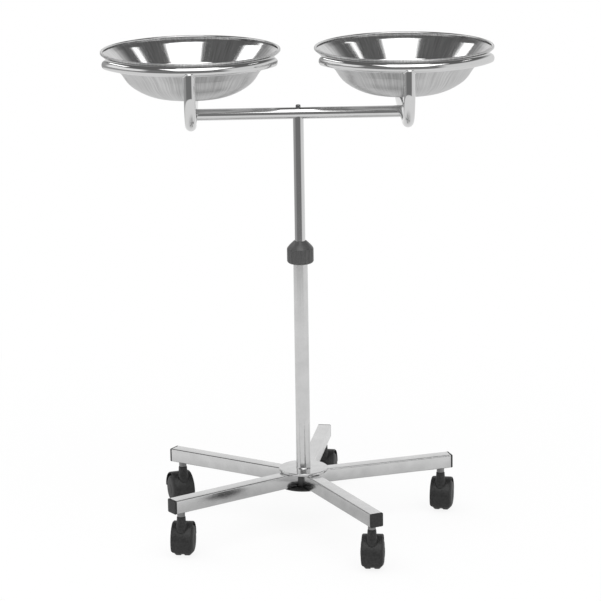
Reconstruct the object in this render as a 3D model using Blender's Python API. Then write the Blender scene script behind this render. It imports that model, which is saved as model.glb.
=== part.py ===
"""Basin stand: two lift-out bowls on a sliding mast above a five-legged base on casters.

Metres, +Z up.  The origin is on the floor under the column.  The crossbar runs along X and the
front of the stand faces -Y.
"""

import math

import bmesh
import bpy
from mathutils import Matrix, Vector

# Gap left between pieces that touch or run in one another.
CLEARANCE = 0.0003

# Twin-wheel casters.
WHEEL_RADIUS = 0.030
WHEEL_WIDTH = 0.0158
WHEEL_DOME = 0.0025
WHEEL_SHOULDER = 0.0035
WHEEL_SIDE_GAP = 0.0005
AXLE_RADIUS = 0.004
AXLE_SEAT = 0.011
CASTER_TRAIL = 0.018
CASTER_HEIGHT = 0.088
HOOD_GAP = 0.0008
HOOD_WALL = 0.0017
HOOD_EDGE = 0.003
HOOD_FRONT_LIP = math.radians(215)
HOOD_REAR_LIP = math.radians(-8)
WEB_WIDTH = 0.006
WEB_HEEL_RADIUS = 0.010
BOSS_TOP_RADIUS = 0.0066
BOSS_FOOT_RADIUS = 0.0095
BOSS_FOOT_DROP = 0.014
STEM_RADIUS = 0.005
STEM_SHOULDER_RADIUS = 0.007
STEM_SHOULDER_HEIGHT = 0.0095
STEM_BOLT_RADIUS = 0.004
STEM_BOLT_LENGTH = 0.017
SOCKET_WALL = 0.003

# Base.
LEG_SIDE = 0.025
LEG_WALL = 0.0015
LEG_REACH = 0.289
LEG_CAP_THICKNESS = 0.0035
LEG_CAP_GAP = 0.0015
LEG_CAP_EDGE = 0.0008
STEM_INSET = 0.020
FRONT_LEG_TURN = math.radians(-64.9)
RIGHT_LEG_TURN = math.radians(16.8)
REAR_RIGHT_LEG_TURN = math.radians(80.6)
REAR_LEFT_LEG_TURN = math.radians(147)
LEFT_LEG_TURN = math.radians(213.9)
HUB_RADIUS = 0.0245
PLATE_RADIUS = 0.045
PLATE_THICKNESS = 0.005
PLATE_EDGE = 0.0015
BASE_CAP_RADIUS = 0.0445
BASE_CAP_THICKNESS = 0.003
BASE_CAP_EDGE = 0.001
BASE_CAP_SPIGOT = 0.012

# Column and its clamp.
COLUMN_RADIUS = 0.013
COLUMN_WALL = 0.0015
COLUMN_TOP = 0.515
COLLET_SPIGOT = 0.030
COLLET_FLANGE_RADIUS = 0.017
COLLET_FLANGE_HEIGHT = 0.005
COLLET_NECK_RADIUS = 0.0135
COLLET_NECK_HEIGHT = 0.0137
COLLET_CONE_HEIGHT = 0.008
COLLET_LIP = 0.0012
COLLAR_RADIUS = 0.024
COLLAR_SKIRT = 0.010
COLLAR_CONE_HEIGHT = 0.0138
COLLAR_EDGE = 0.003
COLLAR_TOP_WALL = 0.004
COLLAR_RIBS = 18
COLLAR_RIB_DEPTH = 0.0009

# Sliding mast.
MAST_RADIUS = 0.0095
MAST_WALL = 0.0015
MAST_LENGTH = 0.470
GUIDE_HEIGHT = 0.030
GUIDE_FLOOR = 0.003
PLUG_LENGTH = 0.030
BOLT_RADIUS = 0.003
BOLT_GRIP = 0.020
BOLT_HEAD_RADIUS = 0.0042
BOLT_HEAD_HEIGHT = 0.0065

# Crossbar, hoops and bowl rests.
BAR_HEIGHT = 0.7794
BAR_RADIUS = 0.0105
BAR_WALL = 0.0015
BOWL_GAP = 0.059
HOOP_RADIUS = 0.010
HOOP_WALL = 0.0015
HOOP_DEPTH = 0.1055
HOOP_BEND = 0.068
LIMB_SADDLE = 0.004
REST_OUTSET = 0.0037
REST_RADIUS = 0.009
REST_WALL = 0.0015
REST_HALF_ANGLE = math.radians(63.5)
REST_VENT_RADIUS = 0.003

# Bowls.
BOWL_RADIUS = 0.160
BOWL_BEAD_RADIUS = 0.0025
BEAD_WRAP = math.radians(220)
BOWL_DEPTH = 0.080
BOWL_WALL = 0.001
FLANGE_ANGLE = math.radians(45)
FLANGE_WIDTH = 0.0365
BOWL_FLOOR_RADIUS = 0.062
BOWL_FULLNESS = 1.5

# Facets.
ROUND_STEPS = 22
SMALL_STEPS = 10
WHEEL_STEPS = 18
MAST_STEPS = 18
BOWL_STEPS = 36
REST_STEPS = 10
BEND_STEPS = 6
TUBE_FACETS = 4
HOLLOW_FACETS = 2
BOWL_CURVE_STEPS = 6
BEAD_STEPS = 4
HOOD_STEPS = 11

# Heights and radii that follow from the sizes above.
LEG_TOP = CASTER_HEIGHT + LEG_SIDE
COLUMN_BORE = COLUMN_RADIUS - COLUMN_WALL
MAST_BORE = MAST_RADIUS - MAST_WALL
MAST_TOP = BAR_HEIGHT
MAST_BOTTOM = MAST_TOP - MAST_LENGTH
BOWL_SPACING = 2 * BOWL_RADIUS + BOWL_GAP
REST_CIRCLE = BOWL_RADIUS + REST_OUTSET
FLANGE_FOOT_RADIUS = BOWL_RADIUS - FLANGE_WIDTH
REST_HEIGHT = BAR_HEIGHT + HOOP_DEPTH
HOOD_RADIUS = WHEEL_RADIUS + HOOD_GAP + HOOD_WALL
HOOD_WIDTH = WEB_WIDTH + 2 * (WHEEL_SIDE_GAP + WHEEL_WIDTH)
STEM_FOOT = WHEEL_RADIUS + HOOD_RADIUS - HOOD_WALL + CLEARANCE
STEM_SHOULDER_FOOT = CASTER_HEIGHT - STEM_SHOULDER_HEIGHT
SOCKET_RADIUS = STEM_BOLT_RADIUS + SOCKET_WALL
LEG_CAP_INSERT = STEM_INSET - SOCKET_RADIUS - LEG_CAP_THICKNESS - LEG_CAP_GAP

# Plan direction of each leg, and the way its caster trails, both from +X.
LEGS = {
    "front": (FRONT_LEG_TURN, math.radians(84)),
    "right": (RIGHT_LEG_TURN, math.radians(78)),
    "rear_right": (REAR_RIGHT_LEG_TURN, math.radians(78)),
    "rear_left": (REAR_LEFT_LEG_TURN, math.radians(109)),
    "left": (LEFT_LEG_TURN, math.radians(82)),
}
SIDES = {"left": -1, "right": 1}

# Colour, roughness and metallic value of each finish.
POLISHED_STEEL = ((0.76, 0.76, 0.75), 0.18, 1.0)
SATIN_STEEL = ((0.66, 0.66, 0.65), 0.34, 1.0)
ZINC_STEEL = ((0.55, 0.55, 0.54), 0.40, 1.0)
BLACK_NYLON = ((0.018, 0.018, 0.018), 0.55, 0.0)
BLACK_RUBBER = ((0.024, 0.024, 0.024), 0.70, 0.0)
DARK_GREY_NYLON = ((0.045, 0.045, 0.045), 0.50, 0.0)
WHITE_NYLON = ((0.70, 0.70, 0.68), 0.45, 0.0)


def bore(radius, steps):
    """Corner radius of a faceted hole that clears a round of this radius all the way round."""
    return (radius + CLEARANCE) / math.cos(math.pi / steps)


def finish_material(name, finish):
    """One Principled material for one piece."""
    colour, roughness, metallic = finish
    material = bpy.data.materials.new(name + "_finish")
    material.use_nodes = True
    shader = material.node_tree.nodes["Principled BSDF"]
    shader.inputs["Base Color"].default_value = (*colour, 1.0)
    shader.inputs["Roughness"].default_value = roughness
    shader.inputs["Metallic"].default_value = metallic
    return material


def new_object(name, data):
    """Link an object to the scene."""
    thing = bpy.data.objects.new(name, data)
    bpy.context.scene.collection.objects.link(thing)
    return thing


def mesh_object(name, work):
    """Close a bmesh into an object with its faces pointing out."""
    bmesh.ops.remove_doubles(work, verts=work.verts, dist=1e-6)
    bmesh.ops.recalc_face_normals(work, faces=work.faces)
    mesh = bpy.data.meshes.new(name)
    work.to_mesh(mesh)
    work.free()
    return new_object(name, mesh)


def smooth(thing):
    """Shade a round piece smooth between its sharp edges."""
    thing.data.shade_smooth()
    thing.data.set_sharp_from_angle(angle=math.radians(35))


def turned(name, profile, steps):
    """Spin a (radius, height) profile once round Z; a profile that leaves the axis is a closed ring."""
    work = bmesh.new()
    points = [work.verts.new((radius, 0.0, height)) for radius, height in profile]
    pairs = list(zip(points, points[1:]))
    if profile[0][0] > 0:
        pairs.append((points[-1], points[0]))
    edges = [work.edges.new(pair) for pair in pairs]
    bmesh.ops.spin(work, geom=points + edges, axis=(0, 0, 1), cent=(0, 0, 0),
                   angle=math.tau, steps=steps, use_merge=True)
    thing = mesh_object(name, work)
    smooth(thing)
    return thing


def rod(name, radius, low, high, steps):
    """A plain round bar along Z."""
    return turned(name, [(0, high), (radius, high), (radius, low), (0, low)], steps)


def pipe(name, radius, hole, low, high, steps):
    """A plain ring or tube along Z."""
    return turned(name, [(hole, high), (radius, high), (radius, low), (hole, low)], steps)


def block(name, low, high):
    """A square-edged block between two corners."""
    work = bmesh.new()
    bmesh.ops.create_cube(work, size=1.0)
    span = Vector(high) - Vector(low)
    middle = (Vector(high) + Vector(low)) / 2
    bmesh.ops.transform(work, matrix=Matrix.Translation(middle) @ Matrix.Diagonal((*span, 1)), verts=work.verts)
    return mesh_object(name, work)


def swept(name, points, radius, facets=TUBE_FACETS):
    """A round bar along a path of points, with flat ends."""
    curve = bpy.data.curves.new(name, "CURVE")
    curve.dimensions = "3D"
    curve.bevel_depth = radius
    curve.bevel_resolution = facets
    curve.use_fill_caps = True
    spline = curve.splines.new("POLY")
    spline.points.add(len(points) - 1)
    for spot, point in zip(spline.points, points):
        spot.co = (*point, 1.0)
    guide = new_object(name + "_path", curve)
    work = bmesh.new()
    work.from_mesh(evaluated_mesh(guide))
    bpy.data.objects.remove(guide)
    return mesh_object(name, work)


def evaluated_mesh(thing):
    """The mesh that a curve or a set of modifiers ends up as."""
    bpy.context.view_layer.update()
    graph = bpy.context.evaluated_depsgraph_get()
    return bpy.data.meshes.new_from_object(thing.evaluated_get(graph))


def carve(body, tool, operation="DIFFERENCE"):
    """Cut a tool from a body, or join it on, and drop the tool."""
    step = body.modifiers.new("carve", "BOOLEAN")
    step.operation = operation
    step.solver = "EXACT"
    step.object = tool
    mesh = evaluated_mesh(body)
    body.modifiers.clear()
    body.data = mesh
    bpy.data.objects.remove(tool)


def shifted(thing, matrix):
    """Move a mesh inside its own object."""
    thing.data.transform(matrix)
    return thing


def turn(angle, axis):
    """A rotation matrix."""
    return Matrix.Rotation(angle, 4, axis)


def place(thing, finish, location=(0, 0, 0), heading=0.0, parent=None):
    """Set a finished piece in its place with its own material."""
    thing.data.materials.clear()
    thing.data.materials.append(finish_material(thing.name, finish))
    thing.location = location
    thing.rotation_euler = (0, 0, heading)
    thing.parent = parent
    return thing


def copy_of(thing, name):
    """A separate piece of the same shape."""
    return new_object(name, thing.data.copy())


def axis_marker(name, location, heading=0.0, parent=None):
    """An empty on a joint's axis that carries the pieces turning or sliding there."""
    marker = new_object(name, None)
    marker.empty_display_size = 0.02
    marker.location = location
    marker.rotation_euler = (0, 0, heading)
    marker.parent = parent
    return marker


def polar(angle, radius, height):
    """A point at a plan angle from +X."""
    return Vector((radius * math.cos(angle), radius * math.sin(angle), height))


def build_hub():
    """Hub ring round the column's foot, its top plate and the thin black cap under the legs."""
    hole = bore(COLUMN_RADIUS, ROUND_STEPS)
    ring = pipe("hub_core", HUB_RADIUS, hole, CASTER_HEIGHT, LEG_TOP, ROUND_STEPS)
    place(ring, POLISHED_STEEL)

    low = LEG_TOP + CLEARANCE
    high = low + PLATE_THICKNESS
    plate = turned("hub_top_plate", [
        (hole, high),
        (PLATE_RADIUS - PLATE_EDGE, high),
        (PLATE_RADIUS, high - PLATE_EDGE),
        (PLATE_RADIUS, low),
        (hole, low),
    ], ROUND_STEPS)
    place(plate, POLISHED_STEEL)

    high = CASTER_HEIGHT - CLEARANCE
    low = high - BASE_CAP_THICKNESS
    spigot = COLUMN_BORE * math.cos(math.pi / ROUND_STEPS) - CLEARANCE
    cap = turned("base_cap", [
        (0, high + BASE_CAP_SPIGOT),
        (spigot, high + BASE_CAP_SPIGOT),
        (spigot, high),
        (BASE_CAP_RADIUS, high),
        (BASE_CAP_RADIUS, low + BASE_CAP_EDGE),
        (BASE_CAP_RADIUS - BASE_CAP_EDGE, low),
        (0, low),
    ], ROUND_STEPS)
    place(cap, BLACK_NYLON)


def leg_shape():
    """Square tube along +X, coped to the hub and bored for a caster socket, about the column's axis."""
    half = LEG_SIDE / 2
    inner = half - LEG_WALL
    end = LEG_REACH - LEG_CAP_THICKNESS - CLEARANCE
    tube = block("leg", (0, -half, CASTER_HEIGHT), (end, half, LEG_TOP))
    hollow = block("hollow", (-half, -inner, CASTER_HEIGHT + LEG_WALL), (LEG_REACH, inner, LEG_TOP - LEG_WALL))
    carve(tube, hollow)
    cope = rod("cope", bore(HUB_RADIUS, ROUND_STEPS), 0, LEG_TOP + LEG_SIDE, ROUND_STEPS)
    carve(tube, cope)
    hole = rod("hole", bore(SOCKET_RADIUS, SMALL_STEPS), CASTER_HEIGHT - LEG_SIDE, CASTER_HEIGHT + LEG_SIDE / 2,
               SMALL_STEPS)
    shifted(hole, Matrix.Translation((LEG_REACH - STEM_INSET, 0, 0)))
    carve(tube, hole)
    return tube


def leg_cap_shape():
    """Black end cap: a thin square face with softened edges and an insert that fills the tube's mouth."""
    half = LEG_SIDE / 2
    inner = half - LEG_WALL - CLEARANCE
    back = LEG_REACH - LEG_CAP_THICKNESS
    face = bmesh.new()
    bmesh.ops.create_cube(face, size=1.0)
    size = Matrix.Diagonal((LEG_CAP_THICKNESS, LEG_SIDE, LEG_SIDE, 1))
    middle = Matrix.Translation((back + LEG_CAP_THICKNESS / 2, 0, CASTER_HEIGHT + half))
    bmesh.ops.transform(face, matrix=middle @ size, verts=face.verts)
    outer = [edge for edge in face.edges if all(vert.co.x > back + LEG_CAP_THICKNESS / 2 for vert in edge.verts)]
    bmesh.ops.bevel(face, geom=outer, offset=LEG_CAP_EDGE, segments=1, affect="EDGES")
    cap = mesh_object("leg_cap", face)
    insert = block("insert", (back - LEG_CAP_INSERT, -inner, CASTER_HEIGHT + half - inner),
                   (back + LEG_CAP_THICKNESS / 2, inner, CASTER_HEIGHT + half + inner))
    carve(cap, insert, "UNION")
    return cap


def socket_shape():
    """Bored steel insert that fills the leg's height over a caster."""
    return pipe("socket", SOCKET_RADIUS, bore(STEM_BOLT_RADIUS, SMALL_STEPS), CASTER_HEIGHT,
                LEG_TOP - LEG_WALL - CLEARANCE, SMALL_STEPS)


def stem_shape():
    """Caster stem: bolt into the socket, bright shoulder under the leg, pivot pin in the housing."""
    seat = CASTER_HEIGHT - CLEARANCE
    return turned("stem", [
        (0, seat + STEM_BOLT_LENGTH),
        (STEM_BOLT_RADIUS, seat + STEM_BOLT_LENGTH),
        (STEM_BOLT_RADIUS, seat),
        (STEM_SHOULDER_RADIUS, seat),
        (STEM_SHOULDER_RADIUS, STEM_SHOULDER_FOOT),
        (STEM_RADIUS, STEM_SHOULDER_FOOT),
        (STEM_RADIUS, STEM_FOOT),
        (0, STEM_FOOT),
    ], SMALL_STEPS)


def hood_outline():
    """Side outline of a housing about its axle: round hood from rear lip to front lip, then the web's heel."""
    sweep = HOOD_FRONT_LIP - HOOD_REAR_LIP
    angles = [HOOD_REAR_LIP + sweep * step / HOOD_STEPS for step in range(HOOD_STEPS + 1)]
    hood = [(HOOD_RADIUS * math.cos(angle), HOOD_RADIUS * math.sin(angle)) for angle in angles]
    rest = math.tau - sweep
    heel = [HOOD_FRONT_LIP + rest * share for share in (0.35, 0.65)]
    return hood + [(WEB_HEEL_RADIUS * math.cos(angle), WEB_HEEL_RADIUS * math.sin(angle)) for angle in heel]


def housing_shape():
    """Caster housing about its swivel axis: hood over both wheels, web between them, boss round the stem."""
    work = bmesh.new()
    half = HOOD_WIDTH / 2
    outline = [work.verts.new((CASTER_TRAIL + x, -half, WHEEL_RADIUS + z)) for x, z in hood_outline()]
    side = work.faces.new(outline)
    grown = bmesh.ops.extrude_face_region(work, geom=[side])
    moved = [item for item in grown["geom"] if isinstance(item, bmesh.types.BMVert)]
    bmesh.ops.translate(work, verts=moved, vec=(0, HOOD_WIDTH, 0))
    axle = Vector((CASTER_TRAIL, 0, WHEEL_RADIUS))

    def on_hood(vert):
        return math.hypot(vert.co.x - axle.x, vert.co.z - axle.z) > HOOD_RADIUS - HOOD_WALL

    rim = [edge for edge in work.edges
           if all(on_hood(vert) for vert in edge.verts)
           and abs(edge.verts[0].co.y - edge.verts[1].co.y) < HOOD_WALL]
    bmesh.ops.bevel(work, geom=rim, offset=HOOD_EDGE, segments=1, affect="EDGES")
    housing = mesh_object("housing", work)

    boss_top = STEM_SHOULDER_FOOT - CLEARANCE
    boss_foot = WHEEL_RADIUS + HOOD_RADIUS - BOSS_FOOT_DROP
    boss = turned("boss", [
        (0, boss_top),
        (BOSS_TOP_RADIUS, boss_top),
        (BOSS_FOOT_RADIUS, boss_foot),
        (0, boss_foot),
    ], SMALL_STEPS)
    carve(housing, boss, "UNION")

    pocket_radius = bore(WHEEL_RADIUS + HOOD_GAP - CLEARANCE, WHEEL_STEPS)
    for side_sign in (-1, 1):
        pocket = rod("pocket", pocket_radius, WEB_WIDTH / 2, HOOD_WIDTH, WHEEL_STEPS)
        shifted(pocket, Matrix.Translation(axle) @ turn(-side_sign * math.pi / 2, "X"))
        carve(housing, pocket)
    pin_hole = rod("pin_hole", bore(AXLE_RADIUS, SMALL_STEPS), -HOOD_WIDTH, HOOD_WIDTH, SMALL_STEPS)
    shifted(pin_hole, Matrix.Translation(axle) @ turn(math.pi / 2, "X"))
    carve(housing, pin_hole)
    stem_hole = rod("stem_hole", bore(STEM_RADIUS, SMALL_STEPS), STEM_FOOT - CLEARANCE, CASTER_HEIGHT, SMALL_STEPS)
    carve(housing, stem_hole)
    smooth(housing)
    return housing


def wheel_shape():
    """One wheel about Z from its flat inner face up: tread, shoulder, domed closed outer face, blind axle hole."""
    hole = bore(AXLE_RADIUS, WHEEL_STEPS)
    return turned("wheel", [
        (0, WHEEL_WIDTH + WHEEL_DOME),
        (WHEEL_RADIUS / 2, WHEEL_WIDTH + WHEEL_DOME * 0.75),
        (WHEEL_RADIUS - WHEEL_SHOULDER, WHEEL_WIDTH),
        (WHEEL_RADIUS, WHEEL_WIDTH - WHEEL_SHOULDER),
        (WHEEL_RADIUS, 0),
        (hole, 0),
        (hole, AXLE_SEAT + CLEARANCE),
        (0, AXLE_SEAT + CLEARANCE),
    ], WHEEL_STEPS)


def build_casters():
    """Five casters, each turned on its stem about its own upright axis, every wheel on a corner of its facets."""
    stem = stem_shape()
    housing = housing_shape()
    wheel = wheel_shape()
    reach = WEB_WIDTH / 2 + WHEEL_SIDE_GAP
    axle = rod("axle", AXLE_RADIUS, -reach - AXLE_SEAT, reach + AXLE_SEAT, SMALL_STEPS)
    shifted(axle, turn(math.pi / 2, "X"))
    for leg, (leg_turn, heading) in LEGS.items():
        foot = polar(leg_turn, LEG_REACH - STEM_INSET, 0)
        place(copy_of(stem, f"caster_stem_{leg}"), ZINC_STEEL, foot)
        swivel = axis_marker(f"caster_swivel_{leg}", foot, heading)
        place(copy_of(housing, f"caster_housing_{leg}"), BLACK_NYLON, parent=swivel)
        centre = Vector((CASTER_TRAIL, 0, WHEEL_RADIUS))
        place(copy_of(axle, f"caster_axle_{leg}"), ZINC_STEEL, centre, parent=swivel)
        for side, sign in SIDES.items():
            piece = copy_of(wheel, f"caster_wheel_{side}_{leg}")
            upright = turn(-sign * math.pi / 2, "X") @ turn(sign * math.pi / 2, "Z")
            shifted(piece, Matrix.Translation((0, sign * reach, 0)) @ upright)
            place(piece, BLACK_RUBBER, centre, parent=swivel)
    for pattern in (stem, housing, wheel, axle):
        bpy.data.objects.remove(pattern)


def build_legs():
    """Five square legs with their end caps and caster sockets."""
    leg_pattern = leg_shape()
    cap_pattern = leg_cap_shape()
    socket_pattern = socket_shape()
    for leg, (leg_turn, _) in LEGS.items():
        place(copy_of(leg_pattern, f"leg_{leg}"), POLISHED_STEEL, heading=leg_turn)
        place(copy_of(cap_pattern, f"leg_cap_{leg}"), BLACK_NYLON, heading=leg_turn)
        spot = polar(leg_turn, LEG_REACH - STEM_INSET, 0)
        place(copy_of(socket_pattern, f"caster_socket_{leg}"), ZINC_STEEL, spot, leg_turn)
    for pattern in (leg_pattern, cap_pattern, socket_pattern):
        bpy.data.objects.remove(pattern)


def build_column():
    """Outer column with the collet set in its top."""
    column = pipe("outer_column", COLUMN_RADIUS, COLUMN_BORE, CASTER_HEIGHT + CLEARANCE, COLUMN_TOP, ROUND_STEPS)
    place(column, POLISHED_STEEL)

    hole = bore(MAST_RADIUS, MAST_STEPS)
    spigot = COLUMN_BORE * math.cos(math.pi / ROUND_STEPS) - CLEARANCE
    seat = COLUMN_TOP + CLEARANCE
    neck_foot = seat + COLLET_FLANGE_HEIGHT
    neck_top = neck_foot + COLLET_NECK_HEIGHT
    cone_top = neck_top + COLLET_CONE_HEIGHT
    collet = turned("clamp_collet", [
        (hole, cone_top),
        (hole + COLLET_LIP, cone_top),
        (COLLET_NECK_RADIUS, neck_top),
        (COLLET_NECK_RADIUS, neck_foot),
        (COLLET_FLANGE_RADIUS, neck_foot),
        (COLLET_FLANGE_RADIUS, seat),
        (spigot, seat),
        (spigot, seat - COLLET_SPIGOT),
        (hole, seat - COLLET_SPIGOT),
    ], MAST_STEPS)
    place(collet, WHITE_NYLON)
    return neck_top, cone_top


def build_collar(neck_top, cone_top):
    """Ribbed black collar that screws down over the collet: open skirt below, coned shoulder on top."""
    steps = 2 * COLLAR_RIBS
    foot = COLUMN_TOP - COLLAR_SKIRT
    top = cone_top + COLLAR_TOP_WALL
    shoulder = top - COLLAR_CONE_HEIGHT
    skirt_bore = bore(COLLET_FLANGE_RADIUS, steps)
    neck_bore = bore(COLLET_NECK_RADIUS, steps)
    mast_bore = bore(MAST_RADIUS, steps)
    lip = bore(bore(MAST_RADIUS, MAST_STEPS) + COLLET_LIP, steps)
    flange_top = COLUMN_TOP + COLLET_FLANGE_HEIGHT + 2 * CLEARANCE
    spread = COLLAR_RADIUS - lip
    collar = turned("clamp_collar", [
        (mast_bore, top),
        (lip, top),
        (lip + spread * 0.57, shoulder + COLLAR_CONE_HEIGHT * 0.50),
        (COLLAR_RADIUS - spread * 0.12, shoulder + COLLAR_CONE_HEIGHT * 0.17),
        (COLLAR_RADIUS, shoulder),
        (COLLAR_RADIUS, foot + COLLAR_EDGE),
        (COLLAR_RADIUS - COLLAR_EDGE, foot),
        (skirt_bore, foot),
        (skirt_bore, flange_top),
        (neck_bore, flange_top),
        (neck_bore, neck_top),
        (lip, cone_top + CLEARANCE),
        (mast_bore, cone_top + CLEARANCE),
    ], steps)
    press_ribs(collar.data, shoulder, foot + COLLAR_EDGE)
    shifted(collar, Matrix.Translation((0, 0, -foot)))
    place(collar, DARK_GREY_NYLON, (0, 0, foot))


def press_ribs(mesh, shoulder, edge):
    """Sink every second line of the collar's grip to leave upright ribs."""
    slack = COLLAR_RIB_DEPTH / 4
    for vert in mesh.vertices:
        radius = math.hypot(vert.co.x, vert.co.y)
        line = round(math.atan2(vert.co.y, vert.co.x) / math.tau * 2 * COLLAR_RIBS)
        gripped = edge - slack < vert.co.z < shoulder + slack and radius > COLLAR_RADIUS - slack
        if gripped and line % 2:
            shrink = (COLLAR_RADIUS - COLLAR_RIB_DEPTH) / COLLAR_RADIUS
            vert.co.x *= shrink
            vert.co.y *= shrink


def build_mast():
    """Sliding mast tube, the guide cup on its foot, and the plug and bolt that hold the crossbar."""
    guide_radius = COLUMN_BORE * math.cos(math.pi / ROUND_STEPS) - CLEARANCE
    hole = bore(MAST_RADIUS, MAST_STEPS)
    floor_top = MAST_BOTTOM - CLEARANCE
    guide = turned("mast_guide", [
        (hole, floor_top + GUIDE_HEIGHT),
        (guide_radius, floor_top + GUIDE_HEIGHT),
        (guide_radius, floor_top - GUIDE_FLOOR),
        (MAST_BORE, floor_top - GUIDE_FLOOR),
        (MAST_BORE, floor_top),
        (hole, floor_top),
    ], MAST_STEPS)
    shifted(guide, Matrix.Translation((0, 0, -floor_top)))
    place(guide, WHITE_NYLON, (0, 0, floor_top))

    tube = pipe("mast_tube", MAST_RADIUS, MAST_BORE, MAST_BOTTOM, MAST_TOP, MAST_STEPS)
    carve(tube, bar_tool("cope", bore(BAR_RADIUS, MAST_STEPS)))
    smooth(tube)
    place(tube, POLISHED_STEEL)

    plug_top = BAR_HEIGHT - bore(BAR_RADIUS, MAST_STEPS) - CLEARANCE
    plug_radius = MAST_BORE * math.cos(math.pi / MAST_STEPS) - CLEARANCE
    plug = pipe("mast_plug", plug_radius, bore(BOLT_RADIUS, SMALL_STEPS), plug_top - PLUG_LENGTH, plug_top,
                SMALL_STEPS)
    place(plug, ZINC_STEEL)

    head = BAR_HEIGHT + BAR_RADIUS + CLEARANCE
    bolt = turned("bar_bolt", [
        (0, head + BOLT_HEAD_HEIGHT),
        (BOLT_HEAD_RADIUS * 0.6, head + BOLT_HEAD_HEIGHT * 0.9),
        (BOLT_HEAD_RADIUS, head + BOLT_HEAD_HEIGHT * 0.55),
        (BOLT_HEAD_RADIUS, head),
        (BOLT_RADIUS, head),
        (BOLT_RADIUS, plug_top - BOLT_GRIP),
        (0, plug_top - BOLT_GRIP),
    ], SMALL_STEPS)
    place(bolt, ZINC_STEEL)


def bar_tool(name, radius):
    """A round bar on the crossbar's axis, as long as the bowls are apart."""
    tool = rod(name, radius, -BOWL_SPACING / 2, BOWL_SPACING / 2, MAST_STEPS)
    return shifted(tool, Matrix.Translation((0, 0, BAR_HEIGHT)) @ turn(math.pi / 2, "Y"))


def build_crossbar():
    """Crossbar tube, coped to the hoops at both ends and bored for its bolt."""
    bar = pipe("crossbar", BAR_RADIUS, BAR_RADIUS - BAR_WALL, -BOWL_SPACING / 2, BOWL_SPACING / 2, MAST_STEPS)
    shifted(bar, Matrix.Translation((0, 0, BAR_HEIGHT)) @ turn(math.pi / 2, "Y"))
    for sign in SIDES.values():
        cope = rod("cope", bore(HOOP_RADIUS, MAST_STEPS), -HOOP_DEPTH, HOOP_DEPTH, MAST_STEPS)
        spot = Vector((sign * BOWL_SPACING / 2, 0, BAR_HEIGHT))
        shifted(cope, Matrix.Translation(spot) @ turn(math.pi / 2, "X"))
        carve(bar, cope)
    hole = rod("hole", bore(BOLT_RADIUS, SMALL_STEPS), BAR_HEIGHT - 2 * BAR_RADIUS, BAR_HEIGHT + 2 * BAR_RADIUS,
               SMALL_STEPS)
    carve(bar, hole)
    smooth(bar)
    place(bar, POLISHED_STEEL)


def hoop_path(overrun=0.0):
    """Upright U in the YZ plane from the front rest down, along under the bowl and up to the back rest."""
    limb_top = HOOP_DEPTH - LIMB_SADDLE + overrun
    points = [(0, -REST_CIRCLE, limb_top)]
    for sign in (-1, 1):
        centre = sign * (REST_CIRCLE - HOOP_BEND)
        bend = []
        for step in range(BEND_STEPS + 1):
            angle = math.pi / 2 * step / BEND_STEPS
            bend.append((0, centre + sign * HOOP_BEND * math.cos(angle), HOOP_BEND * (1 - math.sin(angle))))
        points += bend if sign < 0 else bend[::-1]
    points.append((0, REST_CIRCLE, limb_top))
    return points


def rest_path(sign, trim=0.0):
    """Level arc round a bowl's middle, in front for -1 and behind for 1, whose chords keep the rest circle."""
    half = REST_HALF_ANGLE - trim / REST_CIRCLE
    step_angle = 2 * half / REST_STEPS
    radius = REST_CIRCLE / math.cos(step_angle / 2)
    angles = [sign * math.pi / 2 - half + step_angle * step for step in range(REST_STEPS + 1)]
    return [polar(angle, radius, HOOP_DEPTH) for angle in angles]


def hoop_shape():
    """Bent hoop tube about the middle of its bottom run, saddled to both rests."""
    hoop = swept("hoop", hoop_path(), HOOP_RADIUS)
    carve(hoop, swept("hollow", hoop_path(HOOP_DEPTH), HOOP_RADIUS - HOOP_WALL, HOLLOW_FACETS))
    for sign in (-1, 1):
        carve(hoop, swept("saddle", rest_path(sign), REST_RADIUS + CLEARANCE))
    smooth(hoop)
    return hoop


def rest_shape(sign):
    """Curved bowl rest of closed tube, with a vent hole inside the hoop's limb."""
    rest = swept("rest", rest_path(sign), REST_RADIUS)
    vent = rod("vent", REST_VENT_RADIUS, HOOP_DEPTH - 2 * REST_RADIUS, HOOP_DEPTH, SMALL_STEPS)
    carve(rest, shifted(vent, Matrix.Translation((0, sign * REST_CIRCLE, 0))))
    carve(rest, swept("hollow", rest_path(sign, REST_WALL), REST_RADIUS - REST_WALL, HOLLOW_FACETS))
    smooth(rest)
    return rest


def build_carriers():
    """A hoop with a front and a back rest under each bowl."""
    hoop = hoop_shape()
    rests = {"front": rest_shape(-1), "back": rest_shape(1)}
    for side, sign in SIDES.items():
        spot = (sign * BOWL_SPACING / 2, 0, BAR_HEIGHT)
        place(copy_of(hoop, f"hoop_{side}"), POLISHED_STEEL, spot)
        for end, rest in rests.items():
            place(copy_of(rest, f"bowl_rest_{side}_{end}"), POLISHED_STEEL, spot)
    for pattern in (hoop, *rests.values()):
        bpy.data.objects.remove(pattern)


def flange_reach():
    """Radius at which the bowl's flange would meet the rim's level."""
    bead_middle = BOWL_RADIUS - BOWL_BEAD_RADIUS
    return bead_middle + BOWL_BEAD_RADIUS / math.sin(FLANGE_ANGLE)


def bowl_curve():
    """Under side of a bowl as (radius, height) from its flat floor's edge up to the flange's top."""
    drop = (flange_reach() - FLANGE_FOOT_RADIUS) * math.tan(FLANGE_ANGLE)
    width = FLANGE_FOOT_RADIUS - BOWL_FLOOR_RADIUS
    depth = BOWL_DEPTH - drop
    points = []
    for step in range(BOWL_CURVE_STEPS + 1):
        angle = math.pi / 2 * (1 - step / BOWL_CURVE_STEPS)
        across = math.cos(angle) ** (2 / BOWL_FULLNESS)
        down = math.sin(angle) ** (2 / BOWL_FULLNESS)
        points.append((BOWL_FLOOR_RADIUS + width * across, -drop - depth * down))
    return points


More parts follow.
